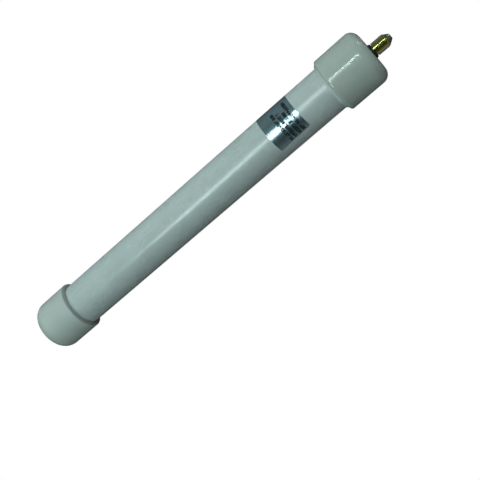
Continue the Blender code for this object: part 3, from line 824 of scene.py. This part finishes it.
# name, degrees from -Y towards +X, height, reach, height aimed at, size, watts, tint
PANELS = (
    ("key_high", 50.0, 0.568, 0.483, 0.085, 0.30, 0.86, LIGHT_TINT),
    ("key_low", 50.0, -0.353, 0.523, 0.085, 0.30, 0.62, LIGHT_TINT),
    ("side_low", 80.0, -0.353, 0.523, 0.085, 0.30, 0.48, LIGHT_TINT),
    ("front_high", 20.0, 0.568, 0.483, 0.085, 0.30, 0.34, SHADE_TINT),
    ("front_mid", 22.0, 0.085, 0.500, 0.085, 0.30, 0.74, LIGHT_TINT),
    ("fill_high", -10.0, 0.568, 0.483, 0.085, 0.30, 0.08, SHADE_TINT),
    ("fill_far", -20.0, 0.427, 0.592, 0.085, 0.30, 0.12, SHADE_TINT),
    ("fill_top", -35.0, 0.256, 0.384, 0.256, 0.17, 0.060, SHADE_TINT),
    ("near_top", 60.0, 0.256, 0.384, 0.256, 0.17, 0.060, LIGHT_TINT),
    ("near_foot", 60.0, -0.034, 0.384, -0.034, 0.17, 0.044, LIGHT_TINT),
    ("far_edge", -70.0, 0.195, 0.384, 0.195, 0.17, 0.055, (0.95, 1.0, 1.0)),
    ("nose_glint", 105.0, -0.235, 0.165, -0.009, 0.06, 0.05, LIGHT_TINT),
    ("paper", -75.0, -0.005, 0.120, -0.005, 0.05, 0.0010, (1.0, 0.9, 0.85)),
)
MIRRORED_SIZE = 0.1                     # a panel smaller than this also shows in reflections
STRIP_REACH = 0.512
# each strip's ends as degrees from -Y towards +X and height, its width, and watts per metre
STRIPS = (
    ((18.0, -0.014), (18.0, -0.006), 0.040, 0.60),
    ((28.3, -0.010), (26.3, 0.034), 0.034, 2.20),
    ((26.3, 0.034), (26.8, 0.057), 0.034, 2.20),
    ((24.5, 0.061), (18.4, 0.095), 0.051, 1.95),
    ((18.4, 0.095), (13.0, 0.125), 0.055, 1.70),
    ((14.5, 0.125), (11.8, 0.156), 0.055, 1.40),
    ((11.8, 0.156), (6.5, 0.195), 0.068, 2.50),
    ((6.5, 0.195), (2.5, 0.224), 0.068, 3.80),
    ((2.5, 0.224), (1.0, 0.262), 0.068, 3.30),
    ((1.0, 0.262), (-4.0, 0.300), 0.110, 3.60),
)
FLOOR_R = 0.28
FLOOR_THICK = 0.006
FLOOR_PLACE = (0.0, -0.1, -0.253)
FLOOR_COLOUR = (0.80, 0.80, 0.79)
FLOOR_SHADE = (0.77, 0.77, 0.76)
FLOOR_GLOW_COLOUR = (0.90, 0.90, 0.89)
FLOOR_GLOW = 0.65


def area_lamp(name, size, power, colour):
    lamp = bpy.data.lights.new(name, "AREA")
    lamp.shape = "RECTANGLE"
    lamp.size, lamp.size_y = size
    lamp.energy = power
    lamp.color = colour
    made = bpy.data.objects.new(name, lamp)
    bpy.context.scene.collection.objects.link(made)
    return made


def panel_light(name, place, target, size, power, colour):
    """A square lamp that faces a point. Only the small ones show in reflections."""
    made = area_lamp(name, (size, size), power, colour)
    made.location = place
    aim = Vector(target) - Vector(place)
    made.rotation_euler = aim.to_track_quat("-Z", "Y").to_euler()
    made.visible_glossy = size < MIRRORED_SIZE


def strip_light(name, start, end, width, power, colour):
    """A long narrow lamp that faces the antenna's axis and shows only in reflections."""
    middle = (start + end) / 2
    long_way = (end - start).normalized()
    facing = Vector((middle.x, middle.y, 0.0)).normalized()
    side = facing.cross(long_way).normalized()
    facing = long_way.cross(side).normalized()
    made = area_lamp(name, ((end - start).length, width), power, colour)
    turn = Matrix((long_way, facing.cross(long_way), facing)).transposed()
    made.matrix_world = Matrix.Translation(middle) @ turn.to_4x4()
    made.visible_diffuse = False


def make_world():
    """White to look at; for light and reflections a dim room, brighter to the sides than ahead."""
    world = bpy.data.worlds.new("studio")
    bpy.context.scene.world = world
    world.use_nodes = True
    tree = world.node_tree
    nodes, links = tree.nodes, tree.links
    nodes.clear()
    place = nodes.new("ShaderNodeTexCoord")
    axes = nodes.new("ShaderNodeSeparateXYZ")
    links.new(place.outputs["Generated"], axes.inputs["Vector"])
    across = nodes.new("ShaderNodeMapRange")
    across.inputs["From Min"].default_value = -1.0
    links.new(axes.outputs["X"], across.inputs["Value"])
    ramp = nodes.new("ShaderNodeValToRGB")
    stops = ramp.color_ramp.elements
    while len(stops) < len(ROOM_STOPS):
        stops.new(0.5)
    for stop, (position, level, tint) in zip(stops, ROOM_STOPS):
        stop.position = position
        stop.color = (*(level * share for share in tint), 1.0)
    links.new(across.outputs["Result"], ramp.inputs["Fac"])
    room = nodes.new("ShaderNodeBackground")
    links.new(ramp.outputs["Color"], room.inputs["Color"])
    white = nodes.new("ShaderNodeBackground")
    white.inputs["Color"].default_value = (1.0, 1.0, 1.0, 1.0)
    rays = nodes.new("ShaderNodeLightPath")
    choose = nodes.new("ShaderNodeMixShader")
    links.new(rays.outputs["Is Camera Ray"], choose.inputs["Fac"])
    links.new(room.outputs["Background"], choose.inputs[1])
    links.new(white.outputs["Background"], choose.inputs[2])
    output = nodes.new("ShaderNodeOutputWorld")
    links.new(choose.outputs["Shader"], output.inputs["Surface"])


def make_lights():
    """Soft panels on the camera's side of the antenna, and a bent strip that draws the streak."""
    for name, azimuth, height, reach, aim, size, power, tint in PANELS:
        turn = radians(azimuth)
        place = (reach * sin(turn), -reach * cos(turn), height)
        panel_light(name, place, (0.0, 0.0, aim), size, power, tint)
    for i, (*ends, width, brightness) in enumerate(STRIPS):
        corners = []
        for azimuth, height in ends:
            turn = radians(azimuth)
            corners.append(Vector((STRIP_REACH * sin(turn), -STRIP_REACH * cos(turn), height)))
        power = brightness * (corners[1] - corners[0]).length
        strip_light(f"strip_{i}", *corners, width, power, LIGHT_TINT)


def make_floor():
    """A pale table top well below the jack, out of the main view.

    It glows for the camera alone, so that it stays pale and sheds no light on the antenna.
    """
    bm = bmesh.new()
    bmesh.ops.create_cone(
        bm, cap_ends=True, segments=96, radius1=FLOOR_R, radius2=FLOOR_R, depth=FLOOR_THICK)
    bmesh.ops.translate(bm, verts=bm.verts, vec=FLOOR_PLACE)
    table = to_object("floor", bm)
    look = Look("floor", FLOOR_COLOUR, 0.6)
    look.colour(look.mixed(look.noise(60.0, 4.0), FLOOR_COLOUR, FLOOR_SHADE))
    rays = look.node("ShaderNodeLightPath")
    glow = look.ranged(rays.outputs["Is Camera Ray"], 0.0, 1.0, 0.0, FLOOR_GLOW)
    look.set("Emission Color", (*FLOOR_GLOW_COLOUR, 1.0))
    look.link(glow, look.shader.inputs["Emission Strength"])
    table.data.materials.append(look.material)


def make_camera():
    """A close camera level with the jack, rolled so that the antenna lies across the frame."""
    distance = 0.35422
    height = -0.0056
    tilt = 0.285
    swing = 0.0684
    roll = 0.715
    focal_pixels = 807.2
    frame_pixels = 480.0
    sensor = 36.0
    turn = Matrix.Rotation(tilt, 3, "X") @ Matrix.Rotation(swing, 3, "Z")
    forward = turn @ Vector((0.0, 1.0, 0.0))
    right = turn @ Vector((0.0, 0.0, -1.0))
    down = turn @ Vector((-1.0, 0.0, 0.0))
    image_right = cos(roll) * right + sin(roll) * down
    image_down = cos(roll) * down - sin(roll) * right
    camera = bpy.data.cameras.new("camera")
    camera.sensor_width = sensor
    camera.lens = sensor * focal_pixels / frame_pixels
    camera.clip_start = 0.01
    made = bpy.data.objects.new("camera", camera)
    bpy.context.scene.collection.objects.link(made)
    axes = Matrix((image_right, -image_down, -forward)).transposed()
    made.matrix_world = Matrix.Translation((0.0, -distance, height)) @ axes.to_4x4()
    bpy.context.scene.camera = made


def main():
    bpy.context.scene.view_settings.view_transform = "Standard"
    looks = make_looks()
    make_pipe(looks)
    make_base_cap(looks)
    make_top_cap(looks)
    make_sealant(looks)
    make_label(looks)
    make_connector(looks)
    make_seal(looks)
    make_end_pad(looks)
    dress_frame(looks)
    make_world()
    make_lights()
    make_floor()
    make_camera()


main()
